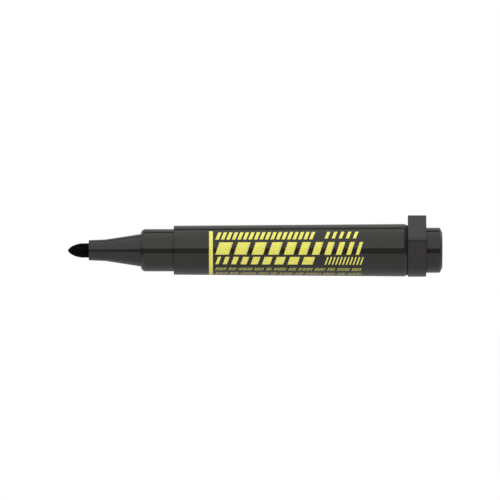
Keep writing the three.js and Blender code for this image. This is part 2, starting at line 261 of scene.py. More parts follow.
# %% Nib surface
FIBRE_DEPTH = 0.01 * MM
FIBRE_WAVES = 31
FINER_WAVES = 43
TWIST_PER_METRE = 900
NIB_DROP = 0.07 * MM


def fibre_waves(x, radius, angle):
    """Two sets of shallow waves round the rod, the finer one twisted, which fade out towards the axis."""
    wave = np.sin(FIBRE_WAVES * angle) + np.sin(FINER_WAVES * angle + TWIST_PER_METRE * x)
    return radius + FIBRE_DEPTH * wave * radius / NIB_RADIUS


nib_rows = turned(nib_outline(), fibre_waves)
nib_rows[..., 2] -= NIB_DROP
nib = surface("bullet_nib", nib_rows, closed_rows=False)
finish_piece(nib, "pen", "nib_fibre", "nib")

# %% [markdown]
# ## The nose cone
#
# The nose cone holds the nib and plugs into the cap seat. Outside it has a short, slightly tapered tip and
# then a steeper cone, with a long soft knee between them. Inside are the nib's bore with four vent channels,
# which let air back into the pen as ink leaves it, and a wider core. The channels could be cut with a boolean
# modifier, but all of it is one profile here, turned round, and along each channel the bore is wider.

# %% Nose cone outline
CONE_TIP_RADIUS = 3.43 * MM
CONE_TIP_EDGE = 0.12 * MM
CONE_TIP_LENGTH = 5.7 * MM
CONE_KNEE_RADIUS = 3.67 * MM
CONE_KNEE_BEND = 4 * MM
CONE_BASE_RADIUS = 5.55 * MM
CONE_SPIGOT_RADIUS = 5.29 * MM
CONE_CORE_RADIUS = 4.34 * MM
CONE_CORE_TAPER = 4.6 * MM
SNAP_RADIUS = 5.54 * MM
SNAP_SETBACK = 3.5 * MM
SNAP_WIDTH = 1.2 * MM
SEAT_MOUTH_DEPTH = 0.8 * MM

x_base = x_seat_front + SEAT_MOUTH_DEPTH - FACE_GAP
x_snap = x_bore_front - SNAP_SETBACK


def cone_outline():
    """Outside from the front face to the spigot's end, then the core and the bore back to the front."""
    bore = NIB_RADIUS + FIT_GAP
    return rounded(
        [
            (x_cone_front, bore, CRISP),
            (x_cone_front, CONE_TIP_RADIUS, CONE_TIP_EDGE),
            (x_cone_front + CONE_TIP_LENGTH, CONE_KNEE_RADIUS, CONE_KNEE_BEND),
            (x_seat_front, CONE_BASE_RADIUS, 0),
            (x_base, CONE_BASE_RADIUS, CRISP),
            (x_base, CONE_SPIGOT_RADIUS, CRISP),
            (x_snap - SNAP_WIDTH / 2, CONE_SPIGOT_RADIUS, CRISP),
            (x_snap - SNAP_WIDTH / 4, SNAP_RADIUS, CRISP),
            (x_snap + SNAP_WIDTH / 4, SNAP_RADIUS, CRISP),
            (x_snap + SNAP_WIDTH / 2, CONE_SPIGOT_RADIUS, CRISP),
            (x_bore_front, CONE_SPIGOT_RADIUS, SOFT),
            (x_bore_front, CONE_CORE_RADIUS, SOFT),
            (x_seat_front, CONE_CORE_RADIUS, SOFT),
            (x_seat_front - CONE_CORE_TAPER, bore, SOFT),
        ],
        closed=True,
    )


print("snap ring", round((x_snap - x_base) / MM, 2), "mm behind the cone's base")

# %% Nose cone surface
VENTS = 4
VENT_WIDTH = 0.7 * MM
VENT_REACH = 2.89 * MM


def vent_channels(x, radius, angle):
    """The bore is wider along each vent channel."""
    in_vent = spokes(angle, VENT_REACH, VENTS, VENT_WIDTH) & (radius < VENT_REACH)
    return np.where(in_vent, VENT_REACH, radius)


cone = surface("nose_cone_shell", turned(cone_outline(), vent_channels), closed_rows=True)
finish_piece(cone, "pen", "cone_plastic", "nose_cone")

# %% [markdown]
# ## The barrel
#
# Barrel and cap seat are one moulding. The body widens evenly to the rear, so that it leaves its mould, and
# so does its bore. A hair-fine relief at the foot of the cap's stop draws a dark line there. At the rear, a
# bevel leads down to the groove in which the collar's front edge runs.

# %% Barrel sizes
SEAT_RADIUS = 7.21 * MM
SEAT_LENGTH = 11.15 * MM
SEAT_ROUND = 1.57 * MM
SEAT_MOUTH_RADIUS = 5.64 * MM
SEAT_BORE_RADIUS = 5.39 * MM
STEP_RELIEF = 0.09 * MM
STEP_EDGE = 0.18 * MM

BARREL_FRONT_RADIUS = 8.35 * MM
BARREL_REAR_RADIUS = 8.94 * MM
BARREL_WALL = 1.75 * MM
RIM_BEVEL_LENGTH = 0.83 * MM
RIM_BEVEL_DEPTH = 0.31 * MM
RIM_BEVEL_EDGE = 0.25 * MM
RIM_LAND = 0.65 * MM
RIM_GROOVE_RADIUS = 8.38 * MM
RIM_LEAD_IN = 0.3 * MM

x_step = x_seat_front + SEAT_LENGTH
x_bevel = x_rim - RIM_LAND - RIM_BEVEL_LENGTH
bore_front_radius = BARREL_FRONT_RADIUS - BARREL_WALL
bore_rear_radius = BARREL_REAR_RADIUS - BARREL_WALL
print("barrel", round((x_rim - x_step) / MM, 2), "mm long behind the cap seat")

# %% Barrel outline
def bore_radius(x):
    """The bore widens evenly from its front end to the rim."""
    share = (x - x_bore_front) / (x_rim - x_bore_front)
    return bore_front_radius + (bore_rear_radius - bore_front_radius) * share


def barrel_outline():
    """Outside from the seat's mouth to the rear rim, then the bore back to the mouth."""
    groove = SNAP_RADIUS + FIT_GAP
    return rounded(
        [
            (x_seat_front, SEAT_MOUTH_RADIUS, 0),
            (x_seat_front, SEAT_RADIUS, SEAT_ROUND),
            (x_step - STEP_RELIEF, SEAT_RADIUS, CRISP),
            (x_step, SEAT_RADIUS - STEP_RELIEF, 0),
            (x_step, BARREL_FRONT_RADIUS, STEP_EDGE),
            (x_bevel, BARREL_REAR_RADIUS, RIM_BEVEL_EDGE),
            (x_rim - RIM_LAND, BARREL_REAR_RADIUS - RIM_BEVEL_DEPTH, SOFT),
            (x_collar_front, RIM_GROOVE_RADIUS, CRISP),
            (x_rim, RIM_GROOVE_RADIUS, SOFT),
            (x_rim, bore_rear_radius + RIM_LEAD_IN, CRISP),
            (x_rim - RIM_LEAD_IN, bore_radius(x_rim - RIM_LEAD_IN), CRISP),
            (x_core_rear + CRISP, bore_radius(x_core_rear + CRISP), 0),
            (x_core_rear, bore_radius(x_core_rear), 0),
            (x_bore_front, bore_front_radius, CRISP),
            (x_bore_front, SEAT_BORE_RADIUS, CRISP),
            (x_snap + SNAP_WIDTH / 2 + FIT_GAP, SEAT_BORE_RADIUS, 0),
            (x_snap + SNAP_WIDTH / 4 + FIT_GAP, groove, 0),
            (x_snap - SNAP_WIDTH / 4 - FIT_GAP, groove, 0),
            (x_snap - SNAP_WIDTH / 2 - FIT_GAP, SEAT_BORE_RADIUS, 0),
            (x_seat_front + SEAT_MOUTH_DEPTH, SEAT_BORE_RADIUS, 0),
            (x_seat_front + SEAT_MOUTH_DEPTH, SEAT_MOUTH_RADIUS, 0),
        ],
        closed=True,
        steps=10,
    )


print("barrel outline has", len(barrel_outline()), "points")

# %% [markdown]
# Six ribs in the bore centre the ink reservoir, and end where it ends. They could be bars joined to the wall,
# but they are part of the same grid here: along each rib the bore's radius is simply smaller.

# %% Barrel surface
RIBS = 6
RIB_WIDTH = 0.9 * MM
RIB_INNER_RADIUS = 6.3 * MM


def barrel_ribs(x, radius, angle):
    """Along each rib, the bore is as narrow as the rib's inner edge."""
    in_bore = (x > x_bore_front - SMALLEST) & (x < x_core_rear + SMALLEST) & (radius < bore_rear_radius)
    in_rib = in_bore & spokes(angle, RIB_INNER_RADIUS, RIBS, RIB_WIDTH)
    return np.where(in_rib, np.minimum(radius, RIB_INNER_RADIUS), radius)


barrel = surface("barrel_shell", turned(barrel_outline(), barrel_ribs), closed_rows=True)
finish_piece(barrel, "pen", "barrel_plastic", "barrel")

# %% [markdown]
# ## The end plug
#
# The plug is a cup that closes the barrel. Its spigot sits in the bore with two press ribs, its neck carries
# the collar, and its head, with a wide bevel, keeps the collar on. It is round all over, so it is turned too.

# %% End plug sizes
HEAD_RADIUS = 7.68 * MM
HEAD_LENGTH = 5.66 * MM
HEAD_EDGE = 0.4 * MM
NECK_RADIUS = 7.09 * MM
PLUG_SPIGOT_RADIUS = 6.84 * MM
PLUG_CORE_RADIUS = 5.64 * MM
PLUG_CORE_DRAFT = 0.25 * MM
PLUG_END_WALL = 1.6 * MM
PLUG_BEVEL_LENGTH = 0.84 * MM
PLUG_BEVEL_DEPTH = 1.75 * MM
PLUG_BEVEL_EDGES = (0.45 * MM, 0.8 * MM)
PRESS_RIBS = 2
PRESS_RIB_WIDTH = 1.1 * MM

x_head_front = x_plug_end - HEAD_LENGTH
print("neck", round((x_head_front - x_rim) / MM, 2), "mm long")

# %% End plug
def press_rib_corners():
    """Corners of the ribs that grip the bore, spread evenly along the spigot."""
    middles = np.linspace(x_plug_front, x_rim, PRESS_RIBS + 2)[1:-1]
    corners = []
    for x_rib in middles:
        crest = bore_radius(x_rib - PRESS_RIB_WIDTH / 2) - FIT_GAP
        corners += [
            (x_rib - PRESS_RIB_WIDTH / 2, PLUG_SPIGOT_RADIUS, CRISP),
            (x_rib - PRESS_RIB_WIDTH / 4, crest, CRISP),
            (x_rib + PRESS_RIB_WIDTH / 4, crest, CRISP),
            (x_rib + PRESS_RIB_WIDTH / 2, PLUG_SPIGOT_RADIUS, CRISP),
        ]
    return corners


def plug_outline():
    """From the core's floor out along the core, back along the outside and over the end face."""
    return rounded(
        [
            (x_plug_end - PLUG_END_WALL, 0, 0),
            (x_plug_end - PLUG_END_WALL, PLUG_CORE_RADIUS - PLUG_CORE_DRAFT, SOFT),
            (x_plug_front, PLUG_CORE_RADIUS, CRISP),
            (x_plug_front, PLUG_SPIGOT_RADIUS, CRISP),
            *press_rib_corners(),
            (x_rim, PLUG_SPIGOT_RADIUS, CRISP),
            (x_rim, NECK_RADIUS, CRISP),
            (x_head_front, NECK_RADIUS, CRISP),
            (x_head_front, HEAD_RADIUS, HEAD_EDGE),
            (x_plug_end - PLUG_BEVEL_LENGTH, HEAD_RADIUS, PLUG_BEVEL_EDGES[0]),
            (x_plug_end, HEAD_RADIUS - PLUG_BEVEL_DEPTH, PLUG_BEVEL_EDGES[1]),
            (x_plug_end, 0, 0),
        ]
    )


plug = surface("end_plug_body", turned(plug_outline()), closed_rows=False)
finish_piece(plug, "pen", "cone_plastic", "end_plug")

# %% [markdown]
# ## The magnet collar
#
# Seen from the end, the collar is a ring whose sides run on straight to a flat-faced lug, as a cord pulled
# tight round three pins would. So its outline is described by the pins: a place, a radius and the direction
# in which the cord faces. Along an arc the direction turns, along a straight the place and radius slide from
# one pin to the next, and an outline drawn further in only has smaller radii. That makes rounded edges easy.

# %% Collar outline
RING_RADIUS = 9.05 * MM
LUG_REACH = 10.69 * MM
LUG_HALF_WIDTH = 6.93 * MM
LUG_CORNER = 1.7 * MM
STRAIGHT_POINTS = 14
CORNER_STEPS = 12
RING_STEPS = 130


def straight(one, other, facing):
    """The cord between two pins, with its points closer together near each pin."""
    ease = 0.5 - 0.5 * np.cos(np.linspace(0, math.pi, STRAIGHT_POINTS))
    slid = np.array(one) + ease[:, None] * (np.array(other) - np.array(one))
    return np.column_stack([slid, np.full(STRAIGHT_POINTS, facing)])


def bend(pin, start, end, steps):
    """The cord round one pin."""
    facing = np.linspace(start, end, steps + 1)[1:-1]
    return np.column_stack([np.tile(pin, (len(facing), 1)), facing])


def collar_pins():
    """Place across, place up, radius and facing direction of every point of the outline. The sides face in
    the one direction in which a straight line touches both the ring and the lug's corner."""
    across = LUG_HALF_WIDTH - LUG_CORNER
    up = LUG_REACH - LUG_CORNER
    side = math.atan2(up, across) - math.acos((RING_RADIUS - LUG_CORNER) / math.hypot(across, up))
    ring, right, left = (0, 0, RING_RADIUS), (across, up, LUG_CORNER), (-across, up, LUG_CORNER)
    upright = math.pi / 2
    return np.concatenate(
        [
            straight(ring, right, side),
            bend(right, side, upright, CORNER_STEPS),
            straight(right, left, upright),
            bend(left, upright, math.pi - side, CORNER_STEPS),
            straight(left, ring, math.pi - side),
            bend(ring, math.pi - side, 2 * math.pi + side, RING_STEPS),
        ]
    )


pins = collar_pins()
print("collar outline has", len(pins), "points")

# %% Rows of the collar at one place along the pen
def outline_at(x, inward):
    """The outline drawn further in: each point lies on its pin's arc, whose radius is that much smaller."""
    reach = pins[:, 2] - inward
    across = pins[:, 0] + reach * np.cos(pins[:, 3])
    up = pins[:, 1] + reach * np.sin(pins[:, 3])
    return np.column_stack([np.full(len(pins), x), across, up])


around = np.arctan2(outline_at(0, 0)[:, 2], outline_at(0, 0)[:, 1])


def circle_at(x, radius):
    """Points of the bore, in line with those of the outline."""
    return np.column_stack([np.full(len(pins), x), radius * np.cos(around), radius * np.sin(around)])


print("lug's flat", round(2 * (LUG_HALF_WIDTH - LUG_CORNER) / MM, 2), "mm across")

# %% [markdown]
# Inside, the collar has a recess in each end, in which the barrel's rim and the plug's head run, and halfway
# along its bore the pocket for the magnet. They could be cut out with booleans, but here they are rows of the
# same grid: circles, and for the pocket circles that reach out to a flat roof and two straight sides.

# %% Recesses in the collar's ends
COLLAR_BORE_RADIUS = 7.21 * MM
RECESS_DEPTH = 0.35 * MM
FRONT_RECESS_RADIUS = 8.75 * MM
REAR_RECESS_RADIUS = 7.8 * MM


def recess(x, radius, inward):
    """Circles of a recess in an end, from the end's face over a crisp edge and the floor to the bore.
    inward is the direction along the pen in which the recess goes."""
    bottom = x + inward * RECESS_DEPTH
    return [
        circle_at(x, radius + 2 * CRISP),
        circle_at(x, radius + CRISP),
        circle_at(x + inward * CRISP, radius),
        circle_at(bottom - inward * CRISP, radius),
        circle_at(bottom, radius),
        circle_at(bottom, radius - CRISP),
        circle_at(bottom, COLLAR_BORE_RADIUS + CRISP),
        circle_at(bottom, COLLAR_BORE_RADIUS),
        circle_at(bottom + inward * CRISP, COLLAR_BORE_RADIUS),
    ]


print("a recess has", len(recess(x_collar_front, FRONT_RECESS_RADIUS, 1)), "circles")

# %% Collar rows
COLLAR_EDGE = 0.12 * MM
EDGE_POINTS = 6
EDGE_GUARD = 1.2 * COLLAR_EDGE
POCKET_TOP = 9.82 * MM
POCKET_HALF_WIDTH = 4.06 * MM
POCKET_HALF_LENGTH = 2.36 * MM

x_pocket = sum(ends("magnet")) / 2


def collar_rows():
    """Outlines from the front edge along the outside to the rear edge, then circles back through the rear
    recess, the bore with the pocket, and the front recess. A rounded edge is a quarter circle of x against
    inset. The pocket reaches out to its roof or its side, whichever is nearer, but never less far than the
    bore does."""
    quarter = np.linspace(0, math.pi / 2, EDGE_POINTS)
    x_edge = COLLAR_EDGE * (1 - np.sin(quarter))
    inset = COLLAR_EDGE * (1 - np.cos(quarter))
    to_roof = POCKET_TOP / np.maximum(np.sin(around), SMALLEST)
    to_side = POCKET_HALF_WIDTH / np.maximum(np.abs(np.cos(around)), SMALLEST)
    pocket = np.where(np.sin(around) > 0, np.minimum(to_roof, to_side), 0)
    pocket = np.maximum(pocket, COLLAR_BORE_RADIUS)
    return np.array(
        [
            outline_at(x_collar_front, EDGE_GUARD),
            *[outline_at(x_collar_front + x, d) for x, d in zip(x_edge[::-1], inset[::-1])],
            outline_at(x_collar_front + EDGE_GUARD, 0),
            outline_at(x_collar_rear - EDGE_GUARD, 0),
            *[outline_at(x_collar_rear - x, d) for x, d in zip(x_edge, inset)],
            outline_at(x_collar_rear, EDGE_GUARD),
            *recess(x_collar_rear, REAR_RECESS_RADIUS, -1),
            circle_at(x_pocket + POCKET_HALF_LENGTH, COLLAR_BORE_RADIUS),
            circle_at(x_pocket + POCKET_HALF_LENGTH, pocket),
            circle_at(x_pocket - POCKET_HALF_LENGTH, pocket),
            circle_at(x_pocket - POCKET_HALF_LENGTH, COLLAR_BORE_RADIUS),
            *recess(x_collar_front, FRONT_RECESS_RADIUS, 1)[::-1],
        ]
    )


print("collar has", len(collar_rows()), "rows")

# %% Collar surface
LUG_TURN = math.radians(42)


def turn_about_pen(rows, angle):
    """The rows turned about the pen's axis, from straight up towards the viewer."""
    x, across, up = rows[..., 0], rows[..., 1], rows[..., 2]
    cosine, sine = math.cos(angle), math.sin(angle)
    return np.stack([x, across * cosine - up * sine, across * sine + up * cosine], axis=-1)


# Columns run the other way round here than on a turned piece, so they are reversed to face outwards.
collar = surface("collar_with_lug", turn_about_pen(collar_rows(), LUG_TURN)[:, ::-1], closed_rows=True)
finish_piece(collar, "collar", "collar_plastic", "magnet_collar")

# %% [markdown]
# ## The print
#
# The barrel carries a yellow print: an upright stripe, then rows of slanted bars and fine ticks. Screen
# printing lays down a skin of ink one or two hundredths of a millimetre thick, so each mark is a thin shell,
# bent round the barrel. An image would do for one view, but a shell stays sharp from near by too.
#
# A mark is laid out flat, by its place along the pen and its angle round it, and the formula for the tapered
# barrel then bends it: the radius grows evenly along the pen, plus the ink's thickness.

# %% Faces of a printed mark
INK = 0.02 * MM
INK_SUNK = 0.015 * MM


def barrel_radius(x):
    """The body's radius, which grows evenly from the step to the rim's bevel."""
    share = (x - x_step) / (x_bevel - x_step)
    return BARREL_FRONT_RADIUS + share * (BARREL_REAR_RADIUS - BARREL_FRONT_RADIUS)


def shell_faces(tall, wide):
    """Faces of a shell of two grids, the outer and the sunk inner one, with a wall round their rim."""
    index = np.arange(2 * tall * wide).reshape(2, tall, wide)
    low_side, right_side = index[:, 0, :-1], index[:, :-1, -1]
    high_side, left_side = index[:, -1, :0:-1], index[:, :0:-1, 0]
    rim = np.concatenate([low_side, right_side, high_side, left_side], axis=1)
    outer = grid_faces(index[0], False)[:, :-1].reshape(-1, 4)
    inner = grid_faces(index[1], False)[:, :-1].reshape(-1, 4)[:, ::-1]
    wall = grid_faces(rim, False).reshape(-1, 4)[:, ::-1]
    return np.concatenate([outer, inner, wall])


print("ink stands", INK / MM, "mm proud")

# %% Printed marks
SLANT = math.tan(math.radians(19))
DEGREES_PER_STEP = 2
ACROSS_POINTS = 5


def marks(name, starts, widths, low, high, slant=SLANT):
    """Marks side by side, each a closed shell. low and high are angles above the level of the eye, in
    degrees. Across a mark, x runs from its start over its width; up it, x leans by the slant times the height
    on the skin."""
    starts = np.asarray(starts, float)[:, None, None]
    widths = np.asarray(widths, float)[:, None, None]
    rise = math.radians(high) - math.radians(low)
    steps = max(2, int(math.degrees(rise) / DEGREES_PER_STEP))
    up = np.linspace(0, 1, steps)[None, :, None]
    across = np.linspace(0, 1, ACROSS_POINTS)[None, None, :]
    x = starts + widths * across + slant * (rise * BARREL_FRONT_RADIUS) * up
    level = math.radians(low) + rise * up + 0 * x

    def skin(thickness):
        """The marks at one depth."""
        radius = barrel_radius(x) + thickness
        return np.stack([x, -radius * np.cos(level), radius * np.sin(level)], axis=-1)

    shells = np.stack([skin(INK), skin(-INK_SUNK)], axis=1)
    count, _, tall, wide, _ = shells.shape
    first = np.arange(count)[:, None, None] * (2 * tall * wide)
    faces = (shell_faces(tall, wide)[None] + first).reshape(-1, 4)
    piece = mesh_object(name, shells.reshape(-1, 3), faces.tolist())
    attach(piece, "pen")
    print(name, count, "marks")
    return piece


x_stripe = x_nib_tip + 47.97 * MM
STRIPE_WIDTH = 1.34 * MM
prints = [marks("print_stripe", [x_stripe], [STRIPE_WIDTH], -100, 50, slant=0)]

# %% [markdown]
# Behind the stripe are three rows of bars. Each fills a given length, so only the bars' relative widths and
# the gap between them are chosen, and the rest is worked out. The five bars at the end of the first row have
# a width and a pitch of their own.

# %% Rows of bars
x_rows = x_nib_tip + 50.1 * MM
x_rows_end = x_nib_tip + 99.6 * MM
x_wide_end = x_nib_tip + 98.9 * MM
x_short_end = x_nib_tip + 83.1 * MM
x_side_start = x_nib_tip + 87.2 * MM
FIVE_BARS_WIDTH = 1.1 * MM
FIVE_BARS_PITCH = 2.39 * MM


def filled(start, end, widths, gap):
    """Starts of marks of the given relative widths, and their widths scaled so that they fill a row."""
    widths = np.asarray(widths, float)
    widths = widths * (end - start - gap * (len(widths) - 1)) / widths.sum()
    starts = start + np.concatenate([[0], np.cumsum(widths[:-1] + gap)])
    return starts, widths


five_bars = (x_side_start + FIVE_BARS_PITCH * np.arange(5), np.full(5, FIVE_BARS_WIDTH))

# Name, starts and widths, lowest and highest angle
BAR_ROWS = [
    ("print_top_bars", filled(x_rows, x_short_end, np.ones(18), 0.7 * MM), 25, 45.7),
    ("print_five_bars", five_bars, 27, 45.7),
    ("print_wide_bars", filled(x_rows, x_wide_end, np.linspace(4, 1, 11), 1.7 * MM), -10.1, 18.4),
    ("print_low_bars", filled(x_rows, x_short_end, np.linspace(1, 3.4, 9), 1.4 * MM), -34, -15.2),
    ("print_thin_bars", filled(x_side_start, x_rows_end, np.ones(11), 0.7 * MM), -34, -15.2),
]
for name, (starts, widths), low, high in BAR_ROWS:
    prints.append(marks(name, starts, widths, low, high))

# %% Fine ticks under the bars
GOLDEN = (math.sqrt(5) - 1) / 2
FINEST_TICK = 0.12 * MM
TICK_SPREAD = 0.11 * MM
SHORTEST_RUN = 4
RUN_SPREAD = 6
RUN_GAP = 1.2


def golden_parts(count):
    """The part after the point of the first multiples of the golden ratio: spread evenly, never the same."""
    return (np.arange(1, count + 1) * GOLDEN) % 1


def ticks(name, runs, low, high):
    """A line of fine ticks in runs of 4 to 9. The lengths of the runs and the widths of the ticks follow the
    golden ratio's multiples. The pitch fills the row, with a gap after each run."""
    lengths = SHORTEST_RUN + (RUN_SPREAD * golden_parts(runs)).astype(int)
    run = np.repeat(np.arange(runs), lengths)
    count = len(run)
    pitch = (x_rows_end - x_rows) / (count + RUN_GAP * (runs - 1))
    starts = x_rows + pitch * (np.arange(count) + RUN_GAP * run)
    widths = FINEST_TICK + TICK_SPREAD * golden_parts(count)
    return marks(name, starts, widths, low, high)


prints.append(ticks("print_ticks_upper", 12, -53, -43.5))
prints.append(ticks("print_ticks_lower", 11, -74, -61))

# %% [markdown]
# ## Materials
#
# Every material is procedural and reads Object coordinates, in metres, so its grain keeps its real size.
# The plastic is charcoal, dyed through, with a fine moulded grain. Most of what one sees of such a dark
# piece is its reflections, so its roughness matters more than its colour.

# %% Patterns, and what varies with them
NOISE_RANGE = (0.3, 0.7)


def new_material(name):
    """A material with nodes, its tree and its Principled shader."""
    material = bpy.data.materials.new(name)
    material.use_nodes = True
    tree = material.node_tree
    return material, tree, tree.nodes["Principled BSDF"]


def stretched_noise(tree, scale, stretch=(1, 1, 1), detail=3):
    """Noise on Object coordinates. The scale is in bumps to the metre."""
    coordinates = tree.nodes.new("ShaderNodeTexCoord")
    mapping = tree.nodes.new("ShaderNodeMapping")
    mapping.inputs["Scale"].default_value = stretch
    noise = tree.nodes.new("ShaderNodeTexNoise")
    noise.inputs["Scale"].default_value = scale
    noise.inputs["Detail"].default_value = detail
    tree.links.new(coordinates.outputs["Object"], mapping.inputs["Vector"])
    tree.links.new(mapping.outputs["Vector"], noise.inputs["Vector"])
    return noise.outputs["Fac"]


def colour_between(tree, pattern, one, other):
    """A colour that varies between two, over the middle of the noise's range."""
    ramp = tree.nodes.new("ShaderNodeValToRGB")
    for element, position, colour in zip(ramp.color_ramp.elements, NOISE_RANGE, (one, other)):
        element.position = position
        element.color = (*colour, 1)
    tree.links.new(pattern, ramp.inputs["Fac"])
    return ramp.outputs["Color"]


def value_between(tree, pattern, low, high):
    """A number that varies between two, over the middle of the noise's range."""
    remap = tree.nodes.new("ShaderNodeMapRange")
    remap.inputs["From Min"].default_value = NOISE_RANGE[0]
    remap.inputs["From Max"].default_value = NOISE_RANGE[1]
    remap.inputs["To Min"].default_value = low
    remap.inputs["To Max"].default_value = high
    tree.links.new(pattern, remap.inputs["Value"])
    return remap.outputs["Result"]


print("noise is used from", *NOISE_RANGE)

# %% [markdown]
# The four mouldings come from different moulds and batches, so each has its own slight tint. They share the
# rest: a faint cloudiness of the dye, patches of more and less polish, and the fine grain of the mould.

# %% Moulded plastic
CLOUD_SCALE = 120
POLISH_SCALE = 400
GRAIN_SCALE = 5200
GRAIN_HEIGHT = 0.0006 * MM
PLASTIC_IOR = 1.5


def add_bump(tree, shader, height, distance):
    """Bumps of a real height, in metres."""
    bump = tree.nodes.new("ShaderNodeBump")
    bump.inputs["Distance"].default_value = distance
    tree.links.new(height, bump.inputs["Height"])
    tree.links.new(bump.outputs["Normal"], shader.inputs["Normal"])


def moulded_plastic(name, dark, light, roughness):
    """Dyed plastic: a faint cloudiness in its colour, patches of more and less polish, and a fine grain."""
    material, tree, shader = new_material(name)
    cloud = stretched_noise(tree, CLOUD_SCALE, detail=2)
    tree.links.new(colour_between(tree, cloud, dark, light), shader.inputs["Base Color"])
    polish = stretched_noise(tree, POLISH_SCALE, detail=2)
    tree.links.new(value_between(tree, polish, *roughness), shader.inputs["Roughness"])
    add_bump(tree, shader, stretched_noise(tree, GRAIN_SCALE, detail=1), GRAIN_HEIGHT)
    shader.inputs["IOR"].default_value = PLASTIC_IOR
    return material


print("moulded grain", round(GRAIN_HEIGHT / MM, 4), "mm high")

# %% The four mouldings
def give(material, *pieces):
    """Puts a material on pieces, in place of what they have."""
    for piece in pieces:
        piece.data.materials.clear()
        piece.data.materials.append(material)


# Piece, material, darker and lighter colour, roughness
MOULDINGS = [
    (barrel, "charcoal_barrel", (0.0199, 0.0187, 0.0163), (0.0229, 0.0215, 0.0191), (0.08, 0.11)),
    (cone, "charcoal_cone", (0.0198, 0.0197, 0.0197), (0.0226, 0.0224, 0.0224), (0.09, 0.12)),
    (collar, "charcoal_collar", (0.0198, 0.0162, 0.0177), (0.0225, 0.0188, 0.0204), (0.1, 0.13)),
    (plug, "charcoal_plug", (0.0206, 0.0166, 0.0172), (0.0234, 0.0193, 0.0199), (0.09, 0.12)),
]
for piece, *finish in MOULDINGS:
    give(moulded_plastic(*finish), piece)
    print(piece.name, "is of", piece.active_material.name)

# %% [markdown]
# The collar rubs on the barrel's rim as it turns. Scuffed plastic scatters more light, so it is paler and
# duller than the rest, and the rubbing leaves fine rings. Rings round the pen are noise drawn out a long way
# over Y and Z: what is left of it changes only along the pen.

# %% Arithmetic on patterns
def number_node(tree, operation, one, other=None):
    """One step of arithmetic on sockets or plain numbers."""
    node = tree.nodes.new("ShaderNodeMath")
    node.operation = operation
    for socket, value in zip(node.inputs, (one, other)):
        if isinstance(value, (int, float)):
            socket.default_value = value
        elif value is not None:
            tree.links.new(value, socket)
    return node.outputs[0]


def smooth_step(tree, value, start, end):
    """0 before the start, 1 after the end, and smooth between them."""
    node = tree.nodes.new("ShaderNodeMapRange")
    node.interpolation_type = "SMOOTHSTEP"
    node.inputs["From Min"].default_value = start
    node.inputs["From Max"].default_value = end
    tree.links.new(value, node.inputs["Value"])
    return node.outputs["Result"]


print("scuff fades in from", round(x_bevel / MM, 2), "to", round((x_rim - RIM_LAND) / MM, 2), "mm")

# %% Scuffed rim
SCUFFED_COLOUR = (0.034, 0.032, 0.031, 1)
SCUFFED_ROUGHNESS = 0.45
RING_SCALE = 6000
RING_STRETCH = (1, 0.02, 0.02)
LEAST_SCUFFED = 0.75


def scuff_rim(material):
    """Mixes scuffed plastic into a material, fading in over the rim's bevel."""
    tree = material.node_tree
    shader = tree.nodes["Principled BSDF"]
    coordinates = tree.nodes.new("ShaderNodeTexCoord")
    axes = tree.nodes.new("ShaderNodeSeparateXYZ")
    tree.links.new(coordinates.outputs["Object"], axes.inputs[0])
    on_rim = smooth_step(tree, axes.outputs["X"], x_bevel, x_rim - RIM_LAND)
    rings = stretched_noise(tree, RING_SCALE, stretch=RING_STRETCH, detail=2)
    share = number_node(tree, "MULTIPLY", on_rim, value_between(tree, rings, LEAST_SCUFFED, 1.0))
    for name, scuffed in (("Base Color", SCUFFED_COLOUR), ("Roughness", (SCUFFED_ROUGHNESS,) * 3 + (1,))):
        mix = tree.nodes.new("ShaderNodeMixRGB")
        tree.links.new(share, mix.inputs["Fac"])
        tree.links.new(shader.inputs[name].links[0].from_socket, mix.inputs["Color1"])
        mix.inputs["Color2"].default_value = scuffed
        tree.links.new(mix.outputs["Color"], shader.inputs[name])


scuff_rim(barrel.active_material)
print("rim scuffed over", round((x_rim - x_bevel) / MM, 2), "mm")

# %% [markdown]
# The nib is soaked with black ink. Its fibres run along the pen, so its noise is stretched along X, and the
# grain is deep and matte. The reservoir is the same kind of fibre, only coarser.

# %% Fibre
STRAND_STRETCH = (0.05, 1, 1)
FIBRE_SPECULAR = 0.04


def vary(tree, shader, pattern, colours, roughness):
    """Lets one pattern vary both the colour and the roughness."""
    tree.links.new(colour_between(tree, pattern, *colours), shader.inputs["Base Color"])
    tree.links.new(value_between(tree, pattern, *roughness), shader.inputs["Roughness"])


def inked_fibre(name, dark, light, fineness, depth, roughness):
    """Fibres along the pen: noise drawn out along X gives the colour of the strands and their height."""
    material, tree, shader = new_material(name)
    strands = stretched_noise(tree, fineness, stretch=STRAND_STRETCH, detail=4)
    vary(tree, shader, strands, (dark, light), roughness)
    add_bump(tree, shader, strands, depth)
    shader.inputs["Specular IOR Level"].default_value = FIBRE_SPECULAR
    return material


# Piece, material, darker and lighter colour, strands to the metre, their depth, roughness
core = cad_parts["ink_reservoir"]
FIBRES = [
    (nib, "inked_nib", (0.0018, 0.0018, 0.0019), (0.0034, 0.0034, 0.0035), 4200, 0.03 * MM, (0.6, 0.85)),
    (core, "inked_core", (0.006, 0.006, 0.008), (0.02, 0.02, 0.024), 2600, 0.05 * MM, (0.8, 0.95)),
]
for piece, *finish in FIBRES:
    give(inked_fibre(*finish), piece)
    print(piece.name, "is of", piece.active_material.name)

# %% [markdown]
# Three more finishes: the printed ink, which is a little mottled and less glossy than the plastic under it,
# and the two that are hidden inside, the film round the reservoir and the magnet's nickel plating.

# %% Printed ink
INK_COLOURS = ((0.83, 0.775, 0.135), (0.89, 0.835, 0.165))
INK_ROUGHNESS = (0.14, 0.2)
MOTTLE_SCALE = 1500
INK_GRAIN_SCALE = 6000
INK_GRAIN_HEIGHT = 0.002 * MM


